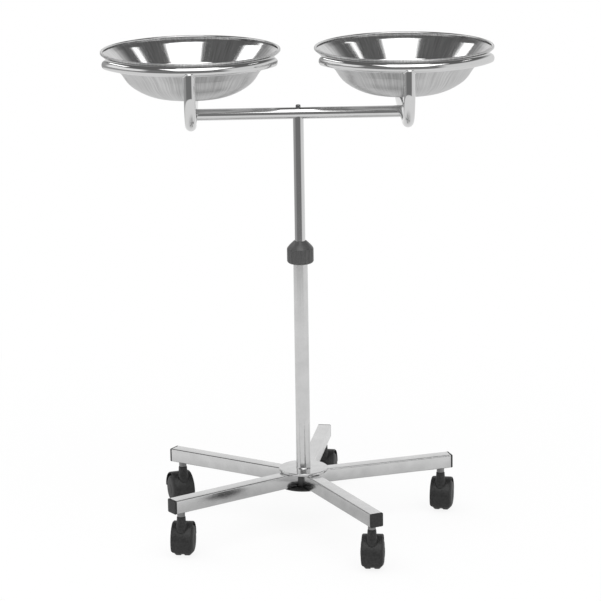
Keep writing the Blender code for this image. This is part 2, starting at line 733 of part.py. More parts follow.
def inner_curve(outer):
    """The same curve one wall thickness inside, with the floor kept level."""
    points = []
    for index, (radius, height) in enumerate(outer):
        before = outer[max(index - 1, 0)]
        after = outer[min(index + 1, len(outer) - 1)]
        along = Vector((after[0] - before[0], after[1] - before[1])).normalized()
        if index == 0:
            along = Vector((1, 0))
        points.append((radius - along.y * BOWL_WALL, height + along.x * BOWL_WALL))
    return points


def build_bowls():
    """Two round bowls with a coned flange and a rolled rim, seated on their rests."""
    outer = bowl_curve()
    inner = inner_curve(outer)
    middle = BOWL_RADIUS - BOWL_BEAD_RADIUS
    out_of_flange = FLANGE_ANGLE - math.pi / 2
    bead = []
    for step in range(BEAD_STEPS + 1):
        angle = out_of_flange + BEAD_WRAP * step / BEAD_STEPS
        bead.append((middle + BOWL_BEAD_RADIUS * math.cos(angle), BOWL_BEAD_RADIUS * math.sin(angle)))
    lip = Vector((math.cos(FLANGE_ANGLE + math.pi / 2), math.sin(FLANGE_ANGLE + math.pi / 2)))
    top = Vector((flange_reach(), 0)) - 2 * BOWL_BEAD_RADIUS * Vector((math.cos(FLANGE_ANGLE), math.sin(FLANGE_ANGLE)))
    flange_top = tuple(top + BOWL_WALL * lip)
    profile = [(0, inner[0][1]), *inner, flange_top, *bead[::-1], *outer[::-1], (0, outer[0][1])]
    rise = flange_reach() + (REST_RADIUS + CLEARANCE) / math.sin(FLANGE_ANGLE) - REST_CIRCLE
    seat = REST_HEIGHT + rise * math.tan(FLANGE_ANGLE)
    bowl = turned("bowl", profile, BOWL_STEPS)
    for side, sign in SIDES.items():
        place(copy_of(bowl, f"bowl_{side}"), SATIN_STEEL, (sign * BOWL_SPACING / 2, 0, seat))
    bpy.data.objects.remove(bowl)


def main():
    """Clear the scene and build every piece."""
    for thing in list(bpy.data.objects):
        bpy.data.objects.remove(thing, do_unlink=True)
    build_hub()
    build_legs()
    build_casters()
    neck_top, cone_top = build_column()
    build_collar(neck_top, cone_top)
    build_mast()
    build_crossbar()
    build_carriers()
    build_bowls()


if __name__ == "__main__":
    main()
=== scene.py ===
"""Looks of a basin stand with two lift-out bowls, dressed over its CAD frame.

Laid out as an add-on and run as a script.  Metres, +Z up, the front of the stand faces -Y.
"""

import math

import bmesh
import bpy
from mathutils import Matrix, Quaternion, Vector


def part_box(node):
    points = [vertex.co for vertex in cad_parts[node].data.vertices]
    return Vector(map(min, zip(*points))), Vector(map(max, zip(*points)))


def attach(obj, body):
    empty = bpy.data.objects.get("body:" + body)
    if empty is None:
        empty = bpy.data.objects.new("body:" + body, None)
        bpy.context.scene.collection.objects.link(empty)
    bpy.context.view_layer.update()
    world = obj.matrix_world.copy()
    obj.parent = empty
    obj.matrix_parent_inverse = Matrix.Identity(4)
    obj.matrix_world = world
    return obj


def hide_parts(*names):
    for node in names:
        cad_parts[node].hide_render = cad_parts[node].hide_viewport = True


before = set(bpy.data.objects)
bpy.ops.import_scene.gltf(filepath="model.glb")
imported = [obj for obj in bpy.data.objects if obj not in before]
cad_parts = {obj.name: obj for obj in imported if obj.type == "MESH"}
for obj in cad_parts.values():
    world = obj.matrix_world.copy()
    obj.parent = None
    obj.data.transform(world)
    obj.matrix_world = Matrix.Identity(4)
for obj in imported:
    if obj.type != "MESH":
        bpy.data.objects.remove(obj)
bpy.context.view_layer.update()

bl_info = {
    "name": "Basin stand",
    "version": (1, 0, 0),
    "blender": (4, 5, 0),
    "location": "View3D > Sidebar > Basin stand",
    "description": "Dresses the CAD frame of a two-bowl basin stand for rendering",
    "category": "Object",
}

LEGS = ("front", "right", "rear_right", "rear_left", "left")
SIDES = {"left": -1, "right": 1}
ENDS = {"front": -1, "back": 1}
UP = Vector((0, 0, 1))
ACROSS = Vector((1, 0, 0))
QUARTER = math.pi / 2

# Room left between pieces that meet, and the distance under which two points are one.
FIT = 0.0003
MERGE = 1e-6

# Bowl: rim, coned flange, rounded wall and flat floor.
BOWL_RADIUS = 0.160
BOWL_WALL = 0.001
BEAD_RADIUS = 0.0025
BEAD_WRAP = math.radians(230)
BOWL_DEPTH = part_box("bowl_left")[1].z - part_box("bowl_left")[0].z - BEAD_RADIUS
FLANGE_ANGLE = math.radians(45)
# Radius at which the flange turns into the wall, outside and inside.
OUTER_FOOT = 0.1230
INNER_FOOT = 0.1185
# Flatter band between the flange and the bead.
LIP_WIDTH = 0.0095
LIP_ANGLE = math.radians(40)
FLOOR_RADIUS = 0.062
# Corners of the wall between floor and flange, as shares of the way out and of the way down.
WALL_BEND = ((0.18, 0.95), (0.43, 0.80), (0.685, 0.58), (0.90, 0.315))
# Corners along the flange and along its lip, as shares of their length.
FLANGE_CORNERS = (0, 0.1, 0.5, 0.9)
LIP_CORNERS = (0, 0.3, 0.7, 1)

# Tubes above the mast.
BAR_RADIUS = 0.0105
HOOP_RADIUS = 0.010
HOOP_BEND = 0.068
LIMB_SADDLE = 0.004
REST_RADIUS = 0.009
REST_CIRCLE = 0.1637
REST_HALF_ANGLE = math.radians(63.5)
REST_END = 0.002
MAST_RADIUS = 0.0095
COLUMN_RADIUS = 0.013
TUBE_WALL = 0.0015

# Welds: size of the crossbar's beside the others, and how far the column's is hollowed.
BAR_WELD_SHARE = 0.7
WELD_HOLLOW = 0.3

# Bolt on the crossbar: its head as (radius, height) from the head's top, which lies below the CAD's.
BOLT_HEAD = ((0, 0), (0.0032, -0.0002), (0.0044, -0.0012))
BOLT_SHANK = 0.003
BOLT_DROP = 0.0018
BOLT_SINK = 0.0005

# Collar: coned top over a ribbed grip. The cone's bends are shares of its run and of its height.
COLLAR_RADIUS = 0.024
COLLAR_CONE = 0.0138
COLLAR_LIP = 0.0115
COLLAR_FOOT = 0.003
COLLAR_BORE = 0.0174
COLLAR_BORE_DEPTH = 0.0155
CONE_BENDS = ((0.57, 0.50), (0.88, 0.17))
# Ribs: where they begin as a share of the foot, depth of the skin they shape, and the power that
# rounds them.
RIB_START = 0.8
RIB_BAND = 0.0008
RIB_POWER = 0.6
RIB_STEPS = 10

# Base.
LEG_SIDE = 0.025
LEG_OVERHANG = 0.020
HUB_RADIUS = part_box("hub_core")[1].x
UNDER_CAP_PLUG = 0.0110
LEG_CAP_THICKNESS = 0.0035
LEG_CAP_INSERT = 0.0055
# Rounded rim of a leg's cap, as shares of its edge: depth still to go and how far in.
LEG_CAP_RIM = ((1.0, 0.0), (0.4, 0.3), (0.1, 0.7), (0.0, 1.6))
SOCKET_RADIUS = 0.007

# Casters, about their swivel axis with the axle along Y.
WHEEL_RADIUS = 0.030
WHEEL_WIDTH = 0.0158
WHEEL_DOME = 0.0025
# Dished middle of a wheel's side, as (radius, height) from the top of its dome.
WHEEL_FACE = ((0, 0), (0.008, -0.0002), (0.0095, -0.0009), (0.0125, -0.0009), (0.019, -0.0013))
AXLE_RADIUS = 0.004
AXLE_SEAT = 0.0113
TRAIL = 0.018
HOOD_RADIUS = 0.0325
HOOD_WALL = 0.0017
HOOD_EDGE = 0.003
HOOD_CORNER = 0.0075
# Angles about the axle at which the hood ends, on the far side and on the stem's side.
HOOD_LIPS = (math.radians(-8), math.radians(215))
WEB_WIDTH = 0.006
WHEEL_SIDE_GAP = 0.0005
# Lower end of the web, and its corners as shares of the way from lip to lip.
HEEL_RADIUS = 0.029
HEEL_CORNERS = (0.35, 0.45, 0.55, 0.65)
# Boss on the hood: its top, and its side as (radius, height) from the hood's top.
BOSS_TOP = 0.0782
BOSS_NECK = 0.0078
BOSS_SIDE = ((0.0084, 0.004), (0.0102, -0.0035), (0.0102, -0.014), (0, -0.014))
# Stem: its radius in the housing, at its collar and in the socket, and the levels where they change.
STEM_RADIUS = 0.005
STEM_COLLAR = 0.007
STEM_TOP = 0.004
STEM_FOOT = 0.0611
STEM_SHOULDER = 0.0785
STEM_SEAT = 0.088

# Rounding of edges on turned pieces and caps, and the least corner of a square outline.
FINE_EDGE = 0.0006
CAP_EDGE = 0.001
BOSS_EDGE = 0.0012
MOULD_EDGE = 0.0016
LEAST_CORNER = 0.0004

# How finely round things are cut.
BOWL_STEPS = 144
BEAD_STEPS = 18
TUBE_STEPS = 40
TURNED_STEPS = 64
BEND_STEPS = 20
REST_STEPS = 64
END_STEPS = 6

# Most values of a noise texture, and most sums of two, lie within these.
NOISE_SPAN = (0.3, 0.7)
SUM_SPAN = (0.7, 1.3)
PATCH_DETAIL = 3.0
GRAIN_DETAIL = 2.0


def middle(node):
    """Centre of a CAD node's box at rest."""
    low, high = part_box(node)
    return (low + high) / 2


def linear(code):
    """An sRGB hex colour as linear RGB."""
    channels = [int(code[i:i + 2], 16) / 255 for i in (1, 3, 5)]
    return tuple(c / 12.92 if c <= 0.04045 else ((c + 0.055) / 1.055) ** 2.4 for c in channels)


def tint(name, code, description):
    """A colour that the user can change."""
    return bpy.props.FloatVectorProperty(
        name=name, description=description, subtype="COLOR", size=3, min=0, max=1, default=linear(code))


def length(name, value, description):
    """A size that the user can change."""
    return bpy.props.FloatProperty(
        name=name, description=description, default=value, min=0, precision=4, unit="LENGTH")


class BasinStandShapes(bpy.types.PropertyGroup):
    """Sizes of the details that the CAD solids leave plain."""

    leg_corner: length("Leg corner", 0.0022, "Outer corner radius of the square leg tube")
    plate_edge: length("Plate edge", 0.0015, "Rounding of the hub plate's rim")
    weld_reach: length("Weld fillet", 0.0014, "Radius of the weld beads on the tubes")
    rib_depth: length("Collar rib", 0.0013, "Depth of the grooves between the collar's ribs")
    rib_count: bpy.props.IntProperty(
        name="Collar ribs", description="Ribs round the collar", default=18, min=6, max=60)
    tread_edge: length("Wheel shoulder", 0.0072, "Rounding between a wheel's tread and its side")


class BasinStandColours(bpy.types.PropertyGroup):
    """Colours of the finishes."""

    chrome: tint("Chrome", "#DEDEDE", "Chromium plate on all the tubes")
    # Painted shade: the hub between the legs is coloured dark for the shade that falls there under the hub
    # plate.
    recess_shade: tint("Recess", "#6A6A6A", "Thin chromium plate on the hub between the legs")
    bowl: tint("Bowl steel", "#DBDBDB", "Spun stainless steel of the bowls")
    zinc: tint("Zinc", "#909090", "Zinc plate on stems, axles and bolt")
    nylon: tint("Black nylon", "#2A2A2A", "Moulded caster housings and caps")
    tread: tint("Tread", "#2C2C2C", "Moulded wheels")
    collar: tint("Collar", "#505050", "Moulded clamp collar")
    natural: tint("Natural nylon", "#E4E1D6", "Collet and guide inside the column")
    floor: tint("Floor", "#F2F2F2", "Studio floor")


class BasinStandStudio(bpy.types.PropertyGroup):
    """Camera and light."""

    camera_spot: bpy.props.FloatVectorProperty(
        name="Camera", description="Where the camera stands", subtype="TRANSLATION", unit="LENGTH",
        default=(-0.0931, -4.9811, 1.7094))
    camera_aim: bpy.props.FloatVectorProperty(
        name="Aim", description="Point in the middle of the picture", subtype="TRANSLATION", unit="LENGTH",
        default=(-0.00095, 0.0, 0.4344))
    camera_roll: bpy.props.FloatProperty(
        name="Roll", description="Tilt of the camera about its own view", unit="ROTATION", default=-0.01522)
    lens: bpy.props.FloatProperty(
        name="Lens", description="Focal length on a 36 mm sensor", unit="CAMERA", default=169.98, min=1)
    lamp_level: bpy.props.FloatProperty(
        name="Lamp level", description="Brightness of the soft panels", default=1.0, min=0)
    soft_level: bpy.props.FloatProperty(
        name="Soft level", description="Even light from all round", default=0.75, min=0)


class BasinStandSettings(bpy.types.PropertyGroup):
    """All settings of the stand."""

    shapes: bpy.props.PointerProperty(type=BasinStandShapes)
    colours: bpy.props.PointerProperty(type=BasinStandColours)
    studio: bpy.props.PointerProperty(type=BasinStandStudio)


# Finishes.

# Makes a Mix node mix colours.
RGBA = {"data_type": "RGBA"}


def add(tree, kind, attributes=None, values=None, links=None):
    """Add one node with its settings, input values and incoming links."""
    node = tree.nodes.new(kind)
    for name, value in (attributes or {}).items():
        setattr(node, name, value)
    for socket, value in (values or {}).items():
        node.inputs[socket].default_value = value
    for socket, source in (links or {}).items():
        tree.links.new(source, node.inputs[socket])
    return node


def mapped(source, target=(0.0, 1.0)):
    """Input values of a Map Range node, from one span to another."""
    return dict(zip((1, 2, 3, 4), (*source, *target)))


def finish(name, colour, roughness, patch_mm, grain_mm, depth_mm, shade, metallic=1.0, turned=False,
           ior=None):
    """A Principled finish whose colour drifts in patches and whose gloss and relief follow a finer grain.

    patch_mm and grain_mm are the pattern's cell sizes along X, Y and Z, where X and Y of a turned piece
    run round its rim; roughness is its lowest and highest value; depth_mm is the height of the relief;
    shade is how dark the darkest patch gets.
    """
    if name in bpy.data.materials:
        return bpy.data.materials[name]
    material = bpy.data.materials.new(name)
    material.use_nodes = True
    tree = material.node_tree
    shader = tree.nodes["Principled BSDF"]
    shader.inputs["Metallic"].default_value = metallic
    if ior:
        shader.inputs["IOR"].default_value = ior
    place = add(tree, "ShaderNodeTexCoord").outputs["Object"]
    if turned:
        parts = add(tree, "ShaderNodeSeparateXYZ", links={0: place}).outputs
        level = add(tree, "ShaderNodeCombineXYZ", links={0: parts["X"], 1: parts["Y"]})
        rise = add(tree, "ShaderNodeCombineXYZ", links={2: parts["Z"]})
        out = add(tree, "ShaderNodeVectorMath", {"operation": "NORMALIZE"}, links={0: level.outputs[0]})
        around = add(tree, "ShaderNodeVectorMath", {"operation": "SCALE"}, {"Scale": BOWL_RADIUS},
                     {0: out.outputs[0]})
        whole = add(tree, "ShaderNodeVectorMath", links={0: around.outputs[0], 1: rise.outputs[0]})
        place = whole.outputs[0]
    fields = []
    for cells, detail in ((patch_mm, PATCH_DETAIL), (grain_mm, GRAIN_DETAIL)):
        scaled = add(tree, "ShaderNodeMapping", values={"Scale": [1000 / cell for cell in cells]},
                     links={"Vector": place})
        noise = add(tree, "ShaderNodeTexNoise", values={"Scale": 1.0, "Detail": detail},
                    links={"Vector": scaled.outputs[0]})
        fields.append(noise.outputs[0])
    patch, grain = fields
    dark = tuple(channel * shade for channel in colour)
    drift = add(tree, "ShaderNodeMapRange", values=mapped(NOISE_SPAN), links={0: patch})
    base = add(tree, "ShaderNodeMix", RGBA, {6: (*dark, 1), 7: (*colour, 1)},
               {0: drift.outputs[0]})
    both = add(tree, "ShaderNodeMath", {"operation": "ADD"}, links={0: patch, 1: grain})
    gloss = add(tree, "ShaderNodeMapRange", values=mapped(SUM_SPAN, roughness), links={0: both.outputs[0]})
    relief = add(tree, "ShaderNodeBump", values={"Strength": 1.0, "Distance": depth_mm / 1000},
                 links={"Height": grain})
    tree.links.new(base.outputs[2], shader.inputs["Base Color"])
    tree.links.new(gloss.outputs[0], shader.inputs["Roughness"])
    tree.links.new(relief.outputs[0], shader.inputs["Normal"])
    return material


def chrome_tube(colours):
    """Chromium-plated steel tube, bent and buffed: a mirror with a faint haze and a slow ripple."""
    return finish("buffed_chrome_tube", colours.chrome, roughness=(0.04, 0.09), patch_mm=(60, 60, 60),
                  grain_mm=(22, 22, 22), depth_mm=0.010, shade=0.97)


def drawn_chrome(colours, along):
    """Chromium-plated steel tube, cold drawn: a mirror dulled by fine lines along the tube.

    The die leaves lines about 0.1 mm apart, drawn here at 1.2 mm so that they show.
    """
    grain = [1.2, 1.2, 1.2]
    grain["XYZ".index(along)] = 180
    return finish(f"drawn_chrome_tube_{along}", colours.chrome, roughness=(0.13, 0.20),
                  patch_mm=(24, 24, 24), grain_mm=grain, depth_mm=0.003, shade=0.88)


def recess_shaded_chrome(colours):
    """Chromium plate on the hub between the legs: dull, and darkened with painted shade for the shade that
    falls there under the plate, with small stains.
    """
    return finish("chrome_with_painted_recess_shade", colours.recess_shade, roughness=(0.35, 0.50), patch_mm=(8, 8, 8),
                  grain_mm=(1.5, 1.5, 1.5), depth_mm=0.02, shade=0.70)


def bowl_outside(colours):
    """Stainless steel sheet, spun and brushed from floor to rim: satin, with fine upright lines.

    The brush leaves lines about 0.2 mm apart, drawn here at 1.8 mm so that they show.
    """
    return finish("brushed_bowl_steel", colours.bowl, roughness=(0.28, 0.42), patch_mm=(3, 3, 60),
                  grain_mm=(1.8, 1.8, 90), depth_mm=0.015, shade=0.68, turned=True)


def bowl_inside(colours):
    """Stainless steel sheet, spun and buffed from floor to rim: near mirror, hazed by faint upright lines.

    The buff leaves lines about 0.1 mm apart, drawn here at 2 mm so that they show.
    """
    return finish("buffed_bowl_steel", colours.bowl, roughness=(0.09, 0.14), patch_mm=(4, 4, 40),
                  grain_mm=(2.0, 2.0, 60), depth_mm=0.005, shade=0.78, turned=True)


def zinc_plate(colours):
    """Zinc-plated steel, passivated: dull bright metal with cloudy spangle a few millimetres across."""
    return finish("zinc_plated_steel", colours.zinc, roughness=(0.24, 0.40), patch_mm=(6, 6, 6),
                  grain_mm=(1.2, 1.2, 1.2), depth_mm=0.01, shade=0.85)


def moulded_nylon(name, colour, shade=0.15, gloss=(0.42, 0.58)):
    """Moulded polyamide: spark-eroded mould skin, dull and mottled by scuffs a few millimetres across.

    The skin's grain is about 0.1 mm, drawn here at 0.8 mm so that it shows.
    """
    return finish(name, colour, roughness=gloss, patch_mm=(3, 3, 3), grain_mm=(0.8, 0.8, 0.8),
                  depth_mm=0.03, shade=shade, metallic=0.0, ior=1.53)


# Mesh tools.

def lifted(corners, level):
    """(radius, height) corners, raised by a level."""
    return [(radius, level + height) for radius, height in corners]


def eased(points, reach, steps=5, limit=0.45):
    """A profile whose inner corners are rounded, each over this reach or a limited share of its sides."""
    points = [Vector(point) for point in points]
    smooth = [points[0]]
    for before, corner, after in zip(points, points[1:], points[2:]):
        ins, outs = before - corner, after - corner
        start = corner + ins.normalized() * min(reach, ins.length * limit)
        stop = corner + outs.normalized() * min(reach, outs.length * limit)
        for step in range(steps + 1):
            share = step / steps
            smooth.append(start.lerp(corner, share).lerp(corner.lerp(stop, share), share))
    return smooth + [points[-1]]


def lathe(profile, steps):
    """Spin a (radius, height) profile round Z; one that leaves the axis is closed into a ring."""
    work = bmesh.new()
    points = [work.verts.new((point[0], 0.0, point[1])) for point in profile]
    edges = [work.edges.new(pair) for pair in zip(points, points[1:])]
    if profile[0][0] > 0:
        edges.append(work.edges.new((points[-1], points[0])))
    bmesh.ops.spin(work, geom=points + edges, axis=(0, 0, 1), cent=(0, 0, 0), angle=math.tau, steps=steps,
                   use_merge=True)
    return work


def prism(outline, along):
    """Grow a flat outline of points along a vector."""
    work = bmesh.new()
    face = work.faces.new([work.verts.new(point) for point in outline])
    grown = bmesh.ops.extrude_face_region(work, geom=[face])
    moved = [item for item in grown["geom"] if isinstance(item, bmesh.types.BMVert)]
    bmesh.ops.translate(work, verts=moved, vec=along)
    return work


def skin(rings, closed=False):
    """Faces between rings of as many points; open rows of rings get a fan over each end."""
    work = bmesh.new()
    loops = [[work.verts.new(point) for point in ring] for ring in rings]
    pairs = list(zip(loops, loops[1:]))
    if closed:
        pairs.append((loops[-1], loops[0]))
    for one, two in pairs:
        for here in range(len(one)):
            after = (here + 1) % len(one)
            work.faces.new((one[here], one[after], two[after], two[here]))
    if not closed:
        for loop in (loops[0], loops[-1]):
            centre = work.verts.new(sum((vert.co for vert in loop), Vector()) / len(loop))
            for here in range(len(loop)):
                work.faces.new((loop[here], loop[(here + 1) % len(loop)], centre))
    return work


def ring_at(spot, along, upright, radius, steps=TUBE_STEPS):
    """A circle of points square to a tube's run."""
    across = along.cross(upright).normalized()
    turns = [math.tau * step / steps for step in range(steps)]
    return [spot + radius * (math.cos(turn) * upright + math.sin(turn) * across) for turn in turns]


def tube_rings(path, upright, radius):
    """Rings along a path that lies in the plane square to upright."""
    rings = []
    for index, spot in enumerate(path):
        along = (path[min(index + 1, len(path) - 1)] - path[max(index - 1, 0)]).normalized()
        rings.append(ring_at(spot, along, upright, radius))
    return rings


def joined(work):
    """Join doubled points of a bmesh and turn its faces outwards."""
    bmesh.ops.remove_doubles(work, verts=work.verts, dist=MERGE)
    bmesh.ops.recalc_face_normals(work, faces=work.faces)
    return work


def mesh_from(work, name):
    """Turn a bmesh into a mesh."""
    mesh = bpy.data.meshes.new(name)
    joined(work).to_mesh(mesh)
    work.free()
    return mesh


def placed(name, data):
    """A new object in the scene."""
    thing = bpy.data.objects.new(name, data)
    bpy.context.scene.collection.objects.link(thing)
    return thing


def settle(name, shape, body, nodes, materials, matrix=Matrix(), sharp=35):
    """Link a mesh or bmesh as a piece, with its finishes, its body and the CAD nodes that it stands for."""
    mesh = shape if isinstance(shape, bpy.types.Mesh) else mesh_from(shape, name)
    mesh.shade_smooth()
    mesh.set_sharp_from_angle(angle=math.radians(sharp))
    if mesh.materials:
        mesh.materials.clear()
    for material in materials:
        mesh.materials.append(material)
    piece = placed(name, mesh)
    piece.matrix_world = matrix
    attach(piece, body)
    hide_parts(*nodes)


def scratch(work):
    """A loose object for a Boolean step."""
    return placed("step", mesh_from(work, "step"))


def carve(body, tool, operation="DIFFERENCE"):
    """Cut a tool from a body, or join it on, and drop the tool."""
    step = body.modifiers.new("carve", "BOOLEAN")
    step.operation = operation
    step.solver = "EXACT"
    step.object = tool
    bpy.context.view_layer.update()
    graph = bpy.context.evaluated_depsgraph_get()
    mesh = bpy.data.meshes.new_from_object(body.evaluated_get(graph))
    body.modifiers.clear()
    body.data = mesh
    bpy.data.objects.remove(tool)


def taken(thing):
    """The mesh of a loose object, which is dropped."""
    mesh = thing.data
    bpy.data.objects.remove(thing)
    return mesh


def rod(radius, low, high, steps=TUBE_STEPS, matrix=Matrix()):
    """A round cutter along Z."""
    work = lathe([(0, high), (radius, high), (radius, low), (0, low)], steps)
    bmesh.ops.transform(work, matrix=matrix, verts=work.verts)
    return scratch(work)


# Bowls.

def softened(points, times=4):
    """A profile with its corners cut again and again, ends kept."""
    for _ in range(times):
        cut = [points[0]]
        for one, two in zip(points, points[1:]):
            cut += [one.lerp(two, 0.25), one.lerp(two, 0.75)]
        points = cut + [points[-1]]
    return points


def bowl_line(foot_radius):
    """Side of a bowl below its bead, from the floor out and up; heights are from the middle of the bead."""
    reach = BOWL_RADIUS - BEAD_RADIUS + BEAD_RADIUS / math.sin(FLANGE_ANGLE)

    def drop(radius):
        return (reach - radius) * math.tan(FLANGE_ANGLE)

    wall = [Vector((FLOOR_RADIUS / 2, -BOWL_DEPTH)), Vector((FLOOR_RADIUS, -BOWL_DEPTH))]
    for across, down in WALL_BEND:
        wall.append(Vector((FLOOR_RADIUS + (INNER_FOOT - FLOOR_RADIUS) * across,
                            -drop(INNER_FOOT) - (BOWL_DEPTH - drop(INNER_FOOT)) * down)))
    tangent = Vector((reach, 0)) - BEAD_RADIUS * Vector((math.cos(FLANGE_ANGLE), math.sin(FLANGE_ANGLE)))
    foot = Vector((foot_radius, -drop(foot_radius)))
    lip = tangent - LIP_WIDTH * Vector((1, math.tan(LIP_ANGLE)))
    flange = [foot.lerp(lip, share) for share in FLANGE_CORNERS]
    flange += [lip.lerp(tangent, share) for share in LIP_CORNERS]
    return softened(wall + flange)


def bowl_profile():
    """(outer, inner) sides of a bowl; the inside keeps its slope further down than the outside."""
    inside = bowl_line(INNER_FOOT)
    inner = []
    for index, point in enumerate(inside[:-3]):
        along = (inside[index + 1] - inside[max(index - 1, 0)]).normalized()
        inner.append(point + Vector((-along.y, along.x)) * BOWL_WALL)
    return bowl_line(OUTER_FOOT), inner


class BASINSTAND_OT_bowls(bpy.types.Operator):
    """Turn both bowls, brushed outside and buffed inside, each with a rolled rim"""

    bl_idname = "basin_stand.bowls"
    bl_label = "Bowls"

    def execute(self, context):
        colours = context.scene.basin_stand.colours
        outer, inner = bowl_profile()
        bead = []
        for step in range(1, BEAD_STEPS + 1):
            turn = FLANGE_ANGLE - QUARTER + BEAD_WRAP * step / BEAD_STEPS
            bead.append(Vector((BOWL_RADIUS - BEAD_RADIUS + BEAD_RADIUS * math.cos(turn),
                                BEAD_RADIUS * math.sin(turn))))
        under = [Vector((share * FLOOR_RADIUS, -BOWL_DEPTH)) for share in (0, 0.25)]
        over = [spot + Vector((0, BOWL_WALL)) for spot in under]
        profile = under + outer + bead + inner[::-1] + over[::-1]
        for side in SIDES:
            low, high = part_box(f"bowl_{side}")
            spot = Vector(((low.x + high.x) / 2, (low.y + high.y) / 2, low.z + BOWL_DEPTH))
            work = joined(lathe(profile, BOWL_STEPS))
            for face in work.faces:
                heart = face.calc_center_median()
                inward = face.normal.x * heart.x + face.normal.y * heart.y < 0
                floor_top = math.hypot(heart.x, heart.y) < FLOOR_RADIUS and face.normal.z > 0.5
                face.material_index = 1 if inward or floor_top else 0
            settle(f"bowl_shell_{side}", work, f"basin_{side}", [f"bowl_{side}"],
                   [bowl_outside(colours), bowl_inside(colours)], Matrix.Translation(spot), 50)
        return {"FINISHED"}


# Tubes over the mast.

def hoop_path(depth):
    """Upright U about the middle of its bottom run, from the front limb's top to the back one's."""
    top = depth - LIMB_SADDLE
    turns = [QUARTER * step / BEND_STEPS for step in range(BEND_STEPS + 1)]
    path = [Vector((0, -REST_CIRCLE, top))]
    for sign in (-1, 1):
        bend = [Vector((0, sign * (REST_CIRCLE - HOOP_BEND + HOOP_BEND * math.cos(turn)),
                        HOOP_BEND * (1 - math.sin(turn)))) for turn in turns]
        path += bend if sign < 0 else bend[::-1]
    path.append(Vector((0, REST_CIRCLE, top)))
    return path


def saddle(ring, depth):
    """Shape a limb's top ring to the rest that lies on it."""
    rest = REST_RADIUS + FIT
    for point in ring:
        off = math.hypot(point.x, point.y) - REST_CIRCLE
        point.z = min(depth - LIMB_SADDLE, depth - math.sqrt(max(rest ** 2 - off ** 2, 0)))


def rest_rings(facing, depth):
    """Rings of a curved rest with rounded ends, about the middle of its hoop's bottom run."""
    turns = [facing * QUARTER + REST_HALF_ANGLE * (2 * step / REST_STEPS - 1)
             for step in range(REST_STEPS + 1)]
    path = [Vector((REST_CIRCLE * math.cos(turn), REST_CIRCLE * math.sin(turn), depth)) for turn in turns]
    tails = []
    for tip, turn, out in ((path[0], turns[0], -1), (path[-1], turns[-1], 1)):
        away = Vector((-math.sin(turn), math.cos(turn), 0)) * out
        start = tip - away * REST_END
        tail = []
        for step in range(1, END_STEPS + 1):
            bend = QUARTER * step / END_STEPS
            inset = REST_END * (1 - math.cos(bend))
            tail.append(ring_at(start + away * (REST_END * math.sin(bend)), away, UP, REST_RADIUS - inset))
        if out < 0:
            tail = [[ring[-index % len(ring)] for index in range(len(ring))] for ring in tail]
        tails.append(tail)
    return tails[0][::-1] + tube_rings(path, UP, REST_RADIUS)[1:-1] + tails[1]


def weld(loop, radius, steps=8):
    """A round bead along a closed loop of points."""
    rings = []
    for index, spot in enumerate(loop):
        along = (loop[(index + 1) % len(loop)] - loop[index - 1]).normalized()
        steep = abs(along.z) > 0.9
        side = along.orthogonal().normalized() if steep else UP.cross(along).normalized()
        rings.append(ring_at(spot, along, along.cross(side).normalized(), radius, steps))
    return skin(rings, closed=True)


class BASINSTAND_OT_carriers(bpy.types.Operator):
    """Bend a hoop and two curved rests under each bowl, with the welds between them"""

    bl_idname = "basin_stand.carriers"
    bl_label = "Hoops and rests"

    def execute(self, context):
        stand = context.scene.basin_stand
        chrome = [chrome_tube(stand.colours)]
        bar = middle("crossbar")
        for side in SIDES:
            spot = Vector((middle(f"hoop_{side}").x, bar.y, bar.z))
            depth = middle(f"bowl_rest_{side}_front").z - spot.z
            place = Matrix.Translation(spot)
            rings = tube_rings(hoop_path(depth), ACROSS, HOOP_RADIUS)
            for end, ring in zip(ENDS, (rings[0], rings[-1])):
                saddle(ring, depth)
                bead = weld(ring, stand.shapes.weld_reach)
                settle(f"rest_weld_{side}_{end}", bead, "mast", [], chrome, place)
            settle(f"hoop_tube_{side}", skin(rings), "mast", [f"hoop_{side}"], chrome,
                   place)
            for end, facing in ENDS.items():
                settle(f"rest_tube_{side}_{end}", skin(rest_rings(facing, depth)), "mast",
                       [f"bowl_rest_{side}_{end}"], chrome, place)
        return {"FINISHED"}


class BASINSTAND_OT_crossbar(bpy.types.Operator):
    """Cope the crossbar to both hoops, weld it and set its bolt"""

    bl_idname = "basin_stand.crossbar"
    bl_label = "Crossbar"

    def execute(self, context):
        stand = context.scene.basin_stand
        chrome = [chrome_tube(stand.colours)]
        bar = middle("crossbar")
        place = Matrix.Translation(bar)
        reach = abs(middle("hoop_left").x)
        rings = []
        for side, sign in SIDES.items():
            ring = ring_at(Vector((sign * reach, 0, 0)), ACROSS, UP, BAR_RADIUS)
            for point in ring:
                point.x = sign * (reach - math.sqrt(max((HOOP_RADIUS + FIT) ** 2 - point.z ** 2, 0)))
            rings.append(ring)
            bead = weld(ring, stand.shapes.weld_reach * BAR_WELD_SHARE)
            settle(f"bar_weld_{side}", bead, "mast", [], chrome, place)
        settle("crossbar_tube", skin(rings), "mast", ["crossbar"], chrome, place)

        low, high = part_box("bar_bolt")
        head = lifted(BOLT_HEAD, high.z - BOLT_DROP)
        rim = head[-1][0]
        under = bar.z + BAR_RADIUS - BOLT_SINK
        bolt = eased([*head, (rim, under), (BOLT_SHANK, under), (BOLT_SHANK, low.z), (0, low.z)], FINE_EDGE)
        settle("bar_bolt_head", lathe(bolt, TUBE_STEPS), "mast", ["bar_bolt"],
               [zinc_plate(stand.colours)])
        return {"FINISHED"}


